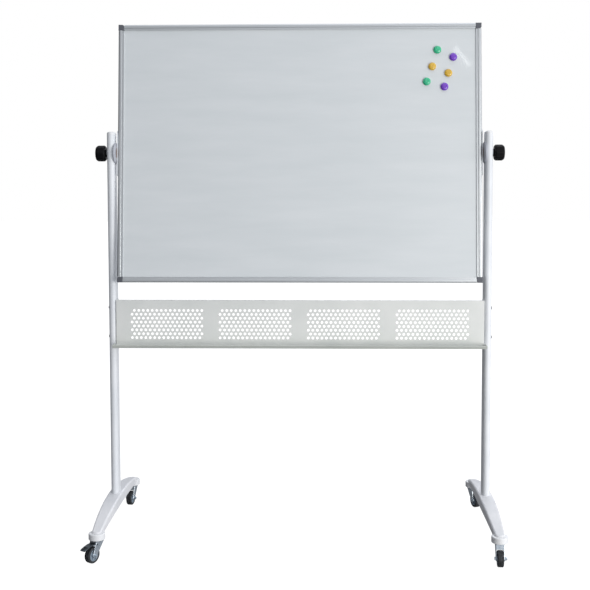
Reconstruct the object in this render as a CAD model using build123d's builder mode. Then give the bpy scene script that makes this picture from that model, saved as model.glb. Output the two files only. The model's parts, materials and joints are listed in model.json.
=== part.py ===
from build123d import *
import os

os.makedirs("parts", exist_ok=True)

# A double-sided whiteboard that turns over in a stand on four swivel casters.
# Millimetres, +Z up. The origin is on the floor, midway between the two posts and under the
# middle of the overall box. The writer stands on the -Y side and sees +X on the right.

# ---- Driving dimensions ----

BOARD_WIDTH = 1200.0
BOARD_HEIGHT = 855.0
BOARD_LEAN = 5.0  # degrees: at rest the top leans back, away from the writer
PIVOT_HEIGHT = 1270.0

PROFILE_FACE = 18.0  # aluminium frame, as seen from the front
PROFILE_DEPTH = 22.0
PROFILE_LIP = 6.0  # inner lip of the frame, lower than its outer bead
PROFILE_STEP = 2.0
SLOT_DEPTH = 11.0  # how far the panel goes into the frame
CHAMBER_WIDTH = 4.0
CHAMBER_DEPTH = 16.0
CHAMBER_WALL = 1.5
CORNER_SIZE = 19.0
CORNER_PROUD = 0.6
SHEET_THICKNESS = 0.6
CORE_THICKNESS = 10.0

POST_X = 622.0
POST_WIDTH = 25.0
POST_DEPTH = 50.0
POST_WALL = 1.5
POST_BOTTOM = 118.0
POST_TOP = 1332.0
POST_PLUG = 20.0  # solid threaded end, welded into the foot of the tube
POST_CAP = 9.0

FOOT_HALF_LENGTH = 290.0
FOOT_TOP = 130.0
FOOT_UNDERSIDE = 98.0
FOOT_END_TOP = 90.0
FOOT_END_UNDERSIDE = 74.0
FOOT_MIDDLE_WIDTH = 47.0
FOOT_END_WIDTH = 31.0
FOOT_WALL = 3.5
CASTER_Y = 275.0

PAD_RADIUS = 25.5
PAD_BOTTOM = 68.5
PAD_TOP = 88.0
PAD_SLACK = 0.1  # between a pad and the foot inside it

PANEL_BOTTOM = 632.0
PANEL_TOP = 783.5
PANEL_FRONT = -24.0
SHEET_METAL = 1.2
PANEL_FLANGE = 38.0
PANEL_HEM = 14.0
HOLE_RADIUS = 4.5
HOLE_PITCH = 15.0
HOLE_ROW_PITCH = 13.0
HOLE_COLUMNS = 16
HOLE_ROWS = 8
HOLE_FIELDS = 4
HOLE_FIELD_PITCH = 293.0
HOLE_CENTRE_HEIGHT = 704.0

TRAY_LENGTH = 1226.0
TRAY_DROP = 0.6  # from the panel's underside down to the tray's floor
TRAY_BACK = -26.0
TRAY_FLOOR_FRONT = -68.0
TRAY_RIM_FRONT = -75.0
TRAY_WALL_HEIGHT = 9.0
TRAY_BEAD = 1.5

STUD_RADIUS = 5.0
STUD_LENGTH = 66.0
POST_HOLE_SLACK = 0.1  # radial, round a clutch disc's spigot
RUNNING_CLEARANCE = 0.05  # radial
BODY_GAP = 0.3  # between faces of pieces that move past each other
BRACKET_THICKNESS = 3.0
BRACKET_LENGTH = 150.0
BRACKET_WIDTH = 22.0
BRACKET_SCREWS = (-60.0, -30.0, 30.0, 60.0)
SCREW_HOLE_RADIUS = 2.6
SCREW_HEAD_RADIUS = 4.5
FRICTION_WASHER_RADIUS = 20.0
FRICTION_WASHER_THICKNESS = 0.6
CLUTCH_RADIUS = 36.0
CLUTCH_HEIGHT = 5.5
CLUTCH_SPIGOT_RADIUS = 8.0
CLAMP_WASHER_RADIUS = 13.0
CLAMP_WASHER_THICKNESS = 1.2
KNOB_RADIUS = 26.0
KNOB_LENGTH = 34.0
KNOB_BOSS_RADIUS = 12.0
KNOB_BOSS_LENGTH = 4.2
KNOB_LOBES = 8
INSERT_RADIUS = 8.0
INSERT_LENGTH = 30.0

WHEEL_RADIUS = 25.0
TYRE_WIDTH = 19.0
HUB_RADIUS = 18.0
HUB_LENGTH = 22.0
CASTER_TRAIL = 22.0
FORK_HALF_WIDTH = 13.5
FORK_WALL = 2.0
FORK_TOP = 66.2
FORK_PLATE = 4.9
FORK_HALF_LENGTH = 17.0
KINGPIN_RADIUS = 6.0
STEM_RADIUS = 5.0
STEM_TOP = 86.0
RACE_RADIUS = 16.0  # bearing flange between the pad and the fork
RIVET_RADIUS = 9.0
RIVET_BOTTOM = 59.0
RIVET_TOP = 61.0
AXLE_RADIUS = 3.0
NUT_INRADIUS = 5.0
NUT_HEIGHT = 5.0
PEDAL_PIVOT_Y = -12.0
PEDAL_PIVOT_Z = 56.5
PEDAL_SHOE_Y = -24.0
PEDAL_BEND_Y = -32.0
PEDAL_TIP_Y = -64.0
TRUNNION_RADIUS = 2.5

# Each caster: name, side in X, side in Y, swivel angle in degrees, has a brake.
# At an angle of 0 the wheel trails towards the writer.
CASTERS = (
    ("front_left", -1, -1, -30.0, True),
    ("front_right", 1, -1, -4.0, False),
    ("rear_left", -1, 1, -9.0, False),
    ("rear_right", 1, 1, 20.0, False),
)

MAGNET_RADIUS = 12.8
MAGNET_HEIGHT = 8.0
MAGNET_SIDE_HEIGHT = 3.5
MAGNET_FLAT_RADIUS = 6.0
# Each magnet: name, then its place on the board, across and up from the pivot.
MAGNETS = (
    ("green_upper", 455.0, 339.0),
    ("purple_upper", 507.0, 315.0),
    ("amber_upper", 438.0, 284.0),
    ("amber_lower", 491.0, 262.0),
    ("green_lower", 420.0, 234.0),
    ("purple_lower", 478.0, 217.0),
)

# ---- Worked out from the driving dimensions ----

SIDES = (("left", -1), ("right", 1))
ON_BASE = (Align.CENTER, Align.CENTER, Align.MIN)
HALF_BOARD = BOARD_WIDTH / 2
HALF_DEPTH = PROFILE_DEPTH / 2
PANEL_HALF_THICKNESS = CORE_THICKNESS / 2 + SHEET_THICKNESS
PANEL_INSET = PROFILE_FACE - SLOT_DEPTH  # from the frame's outer edge to the panel's edge
SHEET_WIDTH = BOARD_WIDTH - 2 * PANEL_INSET
SHEET_HEIGHT = BOARD_HEIGHT - 2 * PANEL_INSET
POST_INNER = POST_X - POST_WIDTH / 2
POST_OUTER = POST_X + POST_WIDTH / 2
PANEL_BOLT_HEIGHTS = (660.0, 757.0)
FOOT_BOLT_OFFSET = 14.0
BOARD_PLACE = Location((0, 0, PIVOT_HEIGHT), (-BOARD_LEAN, 0, 0))

# Everything is drawn with the posts' middles at Y = 0. The front casters and the pedal reach
# further than the rear casters, so each finished piece is moved back by half the difference.
ORIGIN_SHIFT = Location((0, 17.8, 0))


def save(piece, name):
    """Labels a finished piece and writes its file."""
    placed = piece.moved(ORIGIN_SHIFT)
    placed.label = name
    export_step(placed, f"parts/{name}.step")


def save_set(pieces, name):
    """Writes several like pieces as one sub-part."""
    placed = Compound(children=[piece.moved(ORIGIN_SHIFT) for piece in pieces])
    placed.label = name
    export_step(placed, f"parts/{name}.step")


def save_on_board(piece, name):
    """Writes a piece that was drawn upright about the pivot, leaned back with the board."""
    save(piece.moved(BOARD_PLACE), name)


def save_set_on_board(pieces, name):
    """Writes several like pieces of the board, leaned back with it."""
    save_set([piece.moved(BOARD_PLACE) for piece in pieces], name)


# ---- Board: steel writing sheets on a core, in an aluminium frame ----

with BuildPart() as core:
    with BuildSketch(Plane.XZ.offset(-CORE_THICKNESS / 2)):
        Rectangle(SHEET_WIDTH, SHEET_HEIGHT)
    extrude(amount=CORE_THICKNESS)
save_on_board(core.part, "board_core")

for name, back in (("front_sheet", CORE_THICKNESS / 2), ("rear_sheet", -PANEL_HALF_THICKNESS)):
    with BuildPart() as sheet:
        with BuildSketch(Plane.XZ.offset(back)):
            Rectangle(SHEET_WIDTH, SHEET_HEIGHT)
        extrude(amount=SHEET_THICKNESS)
    save_on_board(sheet.part, name)


def frame_profile(length, screw_heights=()):
    """One extrusion standing along Z. Its inner edge is at X = 0 and its outer edge faces +X."""
    lip = HALF_DEPTH - PROFILE_STEP
    chamber_x = PROFILE_FACE - CHAMBER_WALL - CHAMBER_WIDTH / 2
    with BuildPart() as profile:
        with BuildSketch() as section:
            with BuildLine():
                Polyline(
                    (0, -lip),
                    (PROFILE_LIP, -lip),
                    (PROFILE_LIP, -HALF_DEPTH),
                    (PROFILE_FACE, -HALF_DEPTH),
                    (PROFILE_FACE, HALF_DEPTH),
                    (PROFILE_LIP, HALF_DEPTH),
                    (PROFILE_LIP, lip),
                    (0, lip),
                    close=True,
                )
            make_face()
            fillet(section.vertices().group_by(Axis.X)[-1], radius=5)
            bead_edges = section.vertices().filter_by(
                lambda v: abs(v.X - PROFILE_LIP) < 0.01 and abs(v.Y) > HALF_DEPTH - 0.01
            )
            fillet(bead_edges, radius=1.5)
            with Locations((SLOT_DEPTH / 2, 0)):
                Rectangle(SLOT_DEPTH, 2 * PANEL_HALF_THICKNESS, mode=Mode.SUBTRACT)
            with Locations((chamber_x, 0)):
                Rectangle(CHAMBER_WIDTH, CHAMBER_DEPTH, mode=Mode.SUBTRACT)
        extrude(amount=length / 2, both=True)
        for height in screw_heights:
            with BuildSketch(Plane.YZ.offset(SLOT_DEPTH)):
                with Locations((0, height)):
                    Circle(SCREW_HOLE_RADIUS)
            extrude(amount=PROFILE_FACE, mode=Mode.SUBTRACT)
    return profile.part


top_length = BOARD_WIDTH - 2 * CORNER_SIZE
side_length = BOARD_HEIGHT - 2 * CORNER_SIZE
edge_x = HALF_BOARD - PROFILE_FACE
edge_z = BOARD_HEIGHT / 2 - PROFILE_FACE
horizontal_profile = frame_profile(top_length)
upright_profile = frame_profile(side_length, BRACKET_SCREWS)
PROFILE_PLACES = (
    ("top_profile", horizontal_profile, Location((0, 0, edge_z), (0, -90, 0))),
    ("bottom_profile", horizontal_profile, Location((0, 0, -edge_z), (0, 90, 0))),
    ("right_profile", upright_profile, Location((edge_x, 0, 0))),
    ("left_profile", upright_profile, Location((-edge_x, 0, 0), (0, 0, 180))),
)
for name, profile, place in PROFILE_PLACES:
    save_on_board(profile.moved(place), name)

# A corner cap has its outer corner at its origin and reaches towards -X and -Z. A tenon goes
# into the chamber of each of the two profiles that meet there.
TENON_LENGTH = 12.0
TENON_SLACK = 0.1
tenon_width = CHAMBER_WIDTH - 2 * TENON_SLACK
tenon_middle = CHAMBER_WALL + CHAMBER_WIDTH / 2
pocket = CORNER_SIZE - PANEL_INSET
with BuildPart() as corner:
    with BuildSketch(Plane.XZ) as outline:
        with Locations((-CORNER_SIZE / 2, -CORNER_SIZE / 2)):
            Rectangle(CORNER_SIZE, CORNER_SIZE)
        fillet(outline.vertices().sort_by(lambda v: v.X + v.Z)[-1], radius=7)
    extrude(amount=HALF_DEPTH + CORNER_PROUD, both=True)
    fillet(corner.faces().filter_by(Axis.Y).edges(), radius=1.4)
    with Locations((-PANEL_INSET - pocket / 2, 0, -PANEL_INSET - pocket / 2)):
        Box(pocket, 2 * PANEL_HALF_THICKNESS, pocket, mode=Mode.SUBTRACT)
    with Locations((-CORNER_SIZE - TENON_LENGTH / 2, 0, -tenon_middle)):
        Box(TENON_LENGTH, CHAMBER_DEPTH - 2 * TENON_SLACK, tenon_width)
    with Locations((-tenon_middle, 0, -CORNER_SIZE - TENON_LENGTH / 2)):
        Box(tenon_width, CHAMBER_DEPTH - 2 * TENON_SLACK, TENON_LENGTH)
CORNER_PLACES = ((1, 1, 0), (1, -1, 90), (-1, -1, 180), (-1, 1, 270))
corners = [
    corner.part.moved(Location((sx * HALF_BOARD, 0, sz * BOARD_HEIGHT / 2), (0, turn, 0)))
    for sx, sz, turn in CORNER_PLACES
]
save_set_on_board(corners, "corner_caps")

# ---- Pivot: bracket plates, studs and friction washers that turn with the board ----

for name, side in SIDES:
    with BuildPart() as bracket:
        with BuildSketch(Plane.YZ.offset(HALF_BOARD)):
            SlotOverall(BRACKET_LENGTH, BRACKET_WIDTH, rotation=90)
            Circle(STUD_RADIUS, mode=Mode.SUBTRACT)
        extrude(amount=BRACKET_THICKNESS)
        outer_face = Plane.YZ.offset(HALF_BOARD + BRACKET_THICKNESS).location
        with Locations(*[outer_face * Pos(0, h) for h in BRACKET_SCREWS]):
            CounterSinkHole(radius=SCREW_HOLE_RADIUS, counter_sink_radius=SCREW_HEAD_RADIUS + 0.3)
    save_on_board(bracket.part.rotate(Axis.Z, 0 if side > 0 else 180), f"{name}_pivot_bracket")

SCREW_RADIUS = 2.3
SCREW_LENGTH = 9.5
RECESS_SPAN = 4.4
RECESS_WIDTH = 0.9
RECESS_DEPTH = 1.6
with BuildPart() as screw:
    with BuildSketch(Plane.XZ):
        with BuildLine():
            Polyline(
                (0, -SCREW_LENGTH),
                (SCREW_RADIUS - 1, -SCREW_LENGTH),
                (SCREW_RADIUS, 1 - SCREW_LENGTH),
                (SCREW_RADIUS, -SCREW_HEAD_RADIUS + SCREW_RADIUS),
                (SCREW_HEAD_RADIUS, 0),
                (0, 0),
                close=True,
            )
        make_face()
    revolve(axis=Axis.Z)
    with BuildSketch(Plane.XY):
        Rectangle(RECESS_SPAN, RECESS_WIDTH)
        Rectangle(RECESS_WIDTH, RECESS_SPAN)
    extrude(amount=-RECESS_DEPTH, mode=Mode.SUBTRACT)
screw_face = HALF_BOARD + BRACKET_THICKNESS - 0.25  # each head is a little below the plate
bracket_screws = [
    screw.part.moved(Location((side * screw_face, 0, h), (0, side * 90, 0)))
    for _, side in SIDES
    for h in BRACKET_SCREWS
]
save_set_on_board(bracket_screws, "bracket_screws")

with BuildPart() as stud:
    Cylinder(STUD_RADIUS, STUD_LENGTH, align=ON_BASE)
    chamfer(stud.edges().group_by(Axis.Z)[-1], length=1)
with BuildPart() as friction_washer:
    Cylinder(FRICTION_WASHER_RADIUS, FRICTION_WASHER_THICKNESS, align=ON_BASE)
    Cylinder(STUD_RADIUS + 0.2, STUD_LENGTH, mode=Mode.SUBTRACT)


def on_both_sides(piece, distance):
    """The piece, drawn along Z, on each side of the pivot and pointing outwards from it."""
    return [piece.moved(Location((s * distance, 0, 0), (0, s * 90, 0))) for _, s in SIDES]


save_set_on_board(on_both_sides(stud.part, HALF_BOARD), "pivot_studs")
washers = on_both_sides(friction_washer.part, HALF_BOARD + BRACKET_THICKNESS)
save_set_on_board(washers, "friction_washers")

# ---- Pivot: clutch discs in the posts, and the clamping knobs outside them ----

# The clutch disc lies on the post's inner face. Its spigot lines the hole through the post.
with BuildPart() as clutch:
    with BuildSketch(Plane.XZ):
        with BuildLine():
            bore = STUD_RADIUS + RUNNING_CLEARANCE
            crown = (CLUTCH_RADIUS * 0.6, CLUTCH_HEIGHT)
            Polyline(
                crown,
                (bore, CLUTCH_HEIGHT),
                (bore, -POST_WIDTH),
                (CLUTCH_SPIGOT_RADIUS, -POST_WIDTH),
                (CLUTCH_SPIGOT_RADIUS, 0),
                (CLUTCH_RADIUS, 0),
                (CLUTCH_RADIUS, 1.2),
            )
            RadiusArc((CLUTCH_RADIUS, 1.2), crown, -26)
        make_face()
    revolve(axis=Axis.Z)

with BuildPart() as clamp_washer:
    Cylinder(CLAMP_WASHER_RADIUS, CLAMP_WASHER_THICKNESS, align=ON_BASE)
    rims = clamp_washer.edges().filter_by(GeomType.CIRCLE)
    chamfer(rims, length=0.3)
    Cylinder(STUD_RADIUS + RUNNING_CLEARANCE, STUD_LENGTH, mode=Mode.SUBTRACT)

# The knob is drawn along Z, with the end of its boss at Z = 0 and its domed face outwards. Its
# lobes are what is left between shallow hollows, cut round its rim by cylinders along Z.
knob_end = KNOB_BOSS_LENGTH + KNOB_LENGTH
face_radius = KNOB_RADIUS - 7
dome_rise = 2.0
hollow_radius = 13.0
hollow_depth = 2.0
dome_radius = (face_radius**2 + dome_rise**2) / (2 * dome_rise)
with BuildPart() as knob:
    with BuildSketch(Plane.XZ):
        with BuildLine():
            Polyline(
                (0, knob_end),
                (0, 0),
                (KNOB_BOSS_RADIUS, 0),
                (KNOB_BOSS_RADIUS, KNOB_BOSS_LENGTH),
                (KNOB_RADIUS - 6, KNOB_BOSS_LENGTH),
                (KNOB_RADIUS, KNOB_BOSS_LENGTH + 5),
                (KNOB_RADIUS, knob_end - 9),
                (face_radius, knob_end - dome_rise),
            )
            RadiusArc((face_radius, knob_end - dome_rise), (0, knob_end), -dome_radius)
        make_face()
    revolve(axis=Axis.Z)
    with PolarLocations(KNOB_RADIUS - hollow_depth + hollow_radius, KNOB_LOBES):
        Cylinder(hollow_radius, 3 * KNOB_LENGTH, mode=Mode.SUBTRACT)
    Cylinder(INSERT_RADIUS, INSERT_LENGTH, align=ON_BASE, mode=Mode.SUBTRACT)

with BuildPart() as insert:
    Cylinder(INSERT_RADIUS - RUNNING_CLEARANCE, INSERT_LENGTH, align=ON_BASE)
    Cylinder(STUD_RADIUS + RUNNING_CLEARANCE, 3 * INSERT_LENGTH, mode=Mode.SUBTRACT)

washer_x = POST_OUTER + BODY_GAP
knob_x = washer_x + CLAMP_WASHER_THICKNESS + BODY_GAP
for name, side in SIDES:
    outwards = (0, side * 90, 0)
    inwards = (0, -side * 90, 0)
    disc_place = Location((side * POST_INNER, 0, PIVOT_HEIGHT), inwards)
    washer_place = Location((side * washer_x, 0, PIVOT_HEIGHT), outwards)
    knob_place = Location((side * knob_x, 0, PIVOT_HEIGHT), outwards)
    save(clutch.part.moved(disc_place), f"{name}_clutch_disc")
    save(clamp_washer.part.moved(washer_place), f"{name}_clamp_washer")
    save(knob.part.moved(knob_place), f"{name}_knob")
    save(insert.part.moved(knob_place), f"{name}_knob_insert")

# ---- Stand: posts with end caps ----

BORE_LENGTH = POST_DEPTH - 2 * POST_WALL  # the space inside the tube
BORE_WIDTH = POST_WIDTH - 2 * POST_WALL
CAP_TONGUE = 16.0
CAP_SLACK = 0.2
PANEL_BOLT_HOLE_RADIUS = 3.2
FOOT_BOLT_RADIUS = 4.0

for name, side in SIDES:
    with BuildPart() as post:
        with BuildSketch(Plane.XY.offset(POST_BOTTOM)):
            SlotOverall(POST_DEPTH, POST_WIDTH, rotation=90)
        extrude(amount=POST_TOP - POST_BOTTOM)
        with BuildSketch(Plane.XY.offset(POST_BOTTOM + POST_PLUG)):
            SlotOverall(BORE_LENGTH, BORE_WIDTH, rotation=90)
        extrude(amount=POST_TOP, mode=Mode.SUBTRACT)
        with BuildSketch(Plane.YZ):
            with Locations((0, PIVOT_HEIGHT)):
                Circle(CLUTCH_SPIGOT_RADIUS + POST_HOLE_SLACK)
            with Locations(*[(0, h) for h in PANEL_BOLT_HEIGHTS]):
                Circle(PANEL_BOLT_HOLE_RADIUS)
        extrude(amount=POST_WIDTH, both=True, mode=Mode.SUBTRACT)
        with BuildSketch(Plane.XY.offset(POST_BOTTOM)):
            with Locations((0, -FOOT_BOLT_OFFSET), (0, FOOT_BOLT_OFFSET)):
                Circle(FOOT_BOLT_RADIUS + RUNNING_CLEARANCE)
        extrude(amount=POST_PLUG, mode=Mode.SUBTRACT)
    save(post.part.moved(Location((side * POST_X, 0, 0))), f"{name}_post")

    with BuildPart() as cap:
        with BuildSketch(Plane.XY.offset(POST_TOP)):
            SlotOverall(POST_DEPTH, POST_WIDTH, rotation=90)
        extrude(amount=POST_CAP)
        fillet(cap.edges().group_by(Axis.Z)[-1], radius=7)
        with BuildSketch(Plane.XY.offset(POST_TOP)):
            SlotOverall(BORE_LENGTH - CAP_SLACK, BORE_WIDTH - CAP_SLACK, rotation=90)
        extrude(amount=-CAP_TONGUE)
    save(cap.part.moved(Location((side * POST_X, 0, 0))), f"{name}_post_cap")

# ---- Stand: feet ----


def foot_body(inset, underside_drop):
    """The arched, boat-shaped solid of a foot, drawn in by inset all round and over."""
    half = FOOT_HALF_LENGTH - inset
    beyond = FOOT_HALF_LENGTH + 5
    straight = CASTER_Y
    end_half = FOOT_END_WIDTH / 2 - inset
    middle_half = FOOT_MIDDLE_WIDTH / 2 - inset
    end_top = FOOT_END_TOP - inset
    end_bottom = FOOT_END_UNDERSIDE - underside_drop
    middle_bottom = FOOT_UNDERSIDE - underside_drop
    with BuildPart() as body:
        with BuildSketch(Plane.YZ):
            with BuildLine():
                ThreePointArc((-beyond, end_top), (0, FOOT_TOP - inset), (beyond, end_top))
                Line((beyond, end_top), (beyond, end_bottom))
                ThreePointArc((beyond, end_bottom), (0, middle_bottom), (-beyond, end_bottom))
                Line((-beyond, end_bottom), (-beyond, end_top))
            make_face()
        extrude(amount=FOOT_MIDDLE_WIDTH, both=True)
        with BuildSketch(Plane.XY):
            with BuildLine():
                ThreePointArc((end_half, -straight), (middle_half, 0), (end_half, straight))
                ThreePointArc((end_half, straight), (0, half), (-end_half, straight))
                ThreePointArc((-end_half, straight), (-middle_half, 0), (-end_half, -straight))
                ThreePointArc((-end_half, -straight), (0, -half), (end_half, -straight))
            make_face()
        extrude(amount=2 * FOOT_TOP, mode=Mode.INTERSECT)
    return body.part


# Pockets under the foot, between cross ribs: where each starts and ends along the foot.
POCKETS = ((38.0, 110.0), (114.0, 186.0), (190.0, 252.0))
POCKET_REACH = 60.0  # how far the pockets run down, to come out below the foot
FOOT_BOLT_HEAD_RADIUS = 6.5
FOOT_BOLT_HEAD_HEIGHT = 8.0
FOOT_BOLT_SOCKET_RADIUS = 3.4
FOOT_BOLT_SOCKET_DEPTH = 5.0
FOOT_BOLT_SEAT = 106.0  # height of the face that the bolt heads bear on
FOOT_BOLT_LENGTH = 28.0
with BuildPart() as foot:
    add(foot_body(0, 0))
    fillet(foot.faces().sort_by(Axis.Z)[-1].edges(), radius=6)
    pockets = foot_body(FOOT_WALL, POCKET_REACH)
    with BuildPart(mode=Mode.PRIVATE) as pocket_space:
        for start, end in POCKETS:
            for direction in (-1, 1):
                with Locations((0, direction * (start + end) / 2, FOOT_TOP / 2)):
                    Box(2 * FOOT_MIDDLE_WIDTH, end - start, 2 * FOOT_TOP)
        add(pockets, mode=Mode.INTERSECT)
    add(pocket_space.part, mode=Mode.SUBTRACT)
    with BuildSketch(Plane.XY.offset(POST_BOTTOM)):
        SlotOverall(POST_DEPTH + 0.2, POST_WIDTH + 0.2, rotation=90)
    extrude(amount=FOOT_TOP, mode=Mode.SUBTRACT)
    with BuildSketch(Plane.XY):
        with Locations((0, -FOOT_BOLT_OFFSET), (0, FOOT_BOLT_OFFSET)):
            Circle(FOOT_BOLT_RADIUS + 0.2)
    extrude(amount=POST_BOTTOM, mode=Mode.SUBTRACT)
    with BuildSketch(Plane.XY):
        with Locations((0, -FOOT_BOLT_OFFSET), (0, FOOT_BOLT_OFFSET)):
            Circle(FOOT_BOLT_HEAD_RADIUS + 0.7)
    extrude(amount=FOOT_BOLT_SEAT, mode=Mode.SUBTRACT)
    with BuildSketch(Plane.XY):
        with Locations((0, -CASTER_Y), (0, CASTER_Y)):
            Circle(STEM_RADIUS + RUNNING_CLEARANCE)
    extrude(amount=STEM_TOP + 1, mode=Mode.SUBTRACT)
for name, side in SIDES:
    save(foot.part.moved(Location((side * POST_X, 0, 0))), f"{name}_foot")

with BuildPart() as foot_bolt:
    with BuildSketch(Plane.XY.offset(FOOT_BOLT_SEAT)):
        Circle(FOOT_BOLT_RADIUS)
    extrude(amount=FOOT_BOLT_LENGTH)
    with BuildSketch(Plane.XY.offset(FOOT_BOLT_SEAT)):
        Circle(FOOT_BOLT_HEAD_RADIUS)
    extrude(amount=-FOOT_BOLT_HEAD_HEIGHT)
    with BuildSketch(Plane.XY.offset(FOOT_BOLT_SEAT - FOOT_BOLT_HEAD_HEIGHT)):
        RegularPolygon(FOOT_BOLT_SOCKET_RADIUS, 6)
    extrude(amount=FOOT_BOLT_SOCKET_DEPTH, mode=Mode.SUBTRACT)
foot_bolts = [
    foot_bolt.part.moved(Location((side * POST_X, y, 0)))
    for _, side in SIDES
    for y in (-FOOT_BOLT_OFFSET, FOOT_BOLT_OFFSET)
]
save_set(foot_bolts, "foot_bolts")

foot_with_slack = foot_body(-PAD_SLACK, PAD_SLACK)
for name, side_x, side_y, _, _ in CASTERS:
    with BuildPart() as pad:
        with BuildSketch(Plane.XY.offset(PAD_BOTTOM)):
            with Locations((0, side_y * CASTER_Y)):
                Circle(PAD_RADIUS)
                Circle(STEM_RADIUS + 0.2, mode=Mode.SUBTRACT)
        extrude(amount=PAD_TOP - PAD_BOTTOM)
        top_rim = pad.edges().group_by(Axis.Z)[-1].sort_by(SortBy.RADIUS)[-1]
        fillet(top_rim, radius=3)
        bottom_rim = pad.edges().group_by(Axis.Z)[0].sort_by(SortBy.RADIUS)[-1]
        fillet(bottom_rim, radius=1.5)
        add(foot_with_slack, mode=Mode.SUBTRACT)
    save(pad.part.moved(Location((side_x * POST_X, 0, 0))), f"{name}_foot_pad")

# ---- Stand: perforated panel and pen tray ----

panel_length = 2 * POST_INNER
panel_height = PANEL_TOP - PANEL_BOTTOM
with BuildPart() as panel:
    with Locations((0, PANEL_FRONT, PANEL_BOTTOM)):
        Box(panel_length, PANEL_FLANGE, panel_height, align=(Align.CENTER, Align.MIN, Align.MIN))
    front_edges = panel.faces().sort_by(Axis.Y)[0].edges()
    fillet(front_edges, radius=1.5)
    with Locations((0, PANEL_FRONT + SHEET_METAL, PANEL_BOTTOM + SHEET_METAL)):
        Box(
            panel_length - 2 * SHEET_METAL,
            PANEL_FLANGE,
            panel_height - 2 * SHEET_METAL,
            align=(Align.CENTER, Align.MIN, Align.MIN),
            mode=Mode.SUBTRACT,
        )
    with Locations((0, PANEL_FRONT + PANEL_HEM, PANEL_BOTTOM - 1)):
        Box(
            panel_length - 2 * SHEET_METAL,
            PANEL_FLANGE,
            panel_height + 2,
            align=(Align.CENTER, Align.MIN, Align.MIN),
            mode=Mode.SUBTRACT,
        )
    with BuildSketch(Plane.XZ.offset(-PANEL_FRONT - 5)):
        for field in range(HOLE_FIELDS):
            field_x = (field - (HOLE_FIELDS - 1) / 2) * HOLE_FIELD_PITCH
            for shift in (-1, 1):
                row_x = field_x + shift * HOLE_PITCH / 4
                row_z = HOLE_CENTRE_HEIGHT + shift * HOLE_ROW_PITCH / 2
                with Locations((row_x, row_z)):
                    with GridLocations(HOLE_PITCH, 2 * HOLE_ROW_PITCH, HOLE_COLUMNS, HOLE_ROWS // 2):
                        Circle(HOLE_RADIUS)
    extrude(amount=10, mode=Mode.SUBTRACT)
    with BuildSketch(Plane.YZ):
        with Locations(*[(0, h) for h in PANEL_BOLT_HEIGHTS]):
            Circle(PANEL_BOLT_HOLE_RADIUS)
    extrude(amount=BOARD_WIDTH, both=True, mode=Mode.SUBTRACT)

# The sheet's face and its four folded flanges are separate solids that meet along the folds, so
# that the hollow behind the face stays open. Each is the panel within one box: its middle in X
# and Z, then its width and height. The face is all that lies in front of the flanges.
fold_y = PANEL_FRONT + SHEET_METAL
flange_x = (panel_length - SHEET_METAL) / 2
flange_z = (panel_height - SHEET_METAL) / 2
panel_middle = (PANEL_BOTTOM + PANEL_TOP) / 2
hem_length = panel_length - 2 * SHEET_METAL
with BuildPart() as panel_face:
    add(panel.part)
    split(bisect_by=Plane.XZ.offset(-fold_y), keep=Keep.TOP)
panel_solids = [panel_face.part]
for x, z, width, height in (
    (0, flange_z, hem_length, SHEET_METAL),
    (0, -flange_z, hem_length, SHEET_METAL),
    (flange_x, 0, SHEET_METAL, panel_height),
    (-flange_x, 0, SHEET_METAL, panel_height),
):
    with BuildPart() as flange:
        with Locations((x, fold_y, panel_middle + z)):
            Box(width, PANEL_FLANGE, height, align=(Align.CENTER, Align.MIN, Align.CENTER))
        add(panel.part, mode=Mode.INTERSECT)
    panel_solids.append(flange.part)
save_set(panel_solids, "perforated_panel")

# The tray's back edge is joggled up under the panel's lower hem. Its floor lies a little lower.
floor_z = PANEL_BOTTOM - TRAY_DROP
rim_z = floor_z + TRAY_WALL_HEIGHT
with BuildPart() as tray:
    with Locations((0, PANEL_FRONT + PANEL_HEM, PANEL_BOTTOM)):
        Box(
            panel_length - 0.4,
            PANEL_FRONT + PANEL_HEM - TRAY_BACK,
            SHEET_METAL,
            align=(Align.CENTER, Align.MAX, Align.MAX),
        )
    with BuildSketch(Plane.YZ):
        with BuildLine():
            Polyline(
                (TRAY_BACK, floor_z - SHEET_METAL),
                (TRAY_FLOOR_FRONT, floor_z - SHEET_METAL),
                (TRAY_RIM_FRONT, rim_z),
                (TRAY_RIM_FRONT + SHEET_METAL, rim_z),
                (TRAY_FLOOR_FRONT + SHEET_METAL, floor_z),
                (TRAY_BACK, floor_z),
                close=True,
            )
        make_face()
        with Locations((TRAY_RIM_FRONT + TRAY_BEAD, rim_z)):
            Circle(TRAY_BEAD)
    extrude(amount=TRAY_LENGTH / 2, both=True)
    with BuildSketch(Plane.YZ.offset(TRAY_LENGTH / 2 - SHEET_METAL)) as tray_end:
        with BuildLine():
            Polyline(
                (TRAY_BACK, floor_z - SHEET_METAL),
                (TRAY_FLOOR_FRONT, floor_z - SHEET_METAL),
                (TRAY_RIM_FRONT + SHEET_METAL / 2, rim_z),
                (TRAY_BACK, rim_z),
                close=True,
            )
        make_face()
    extrude(amount=SHEET_METAL)
    mirror(about=Plane.YZ)
save(tray.part, "pen_tray")

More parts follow.
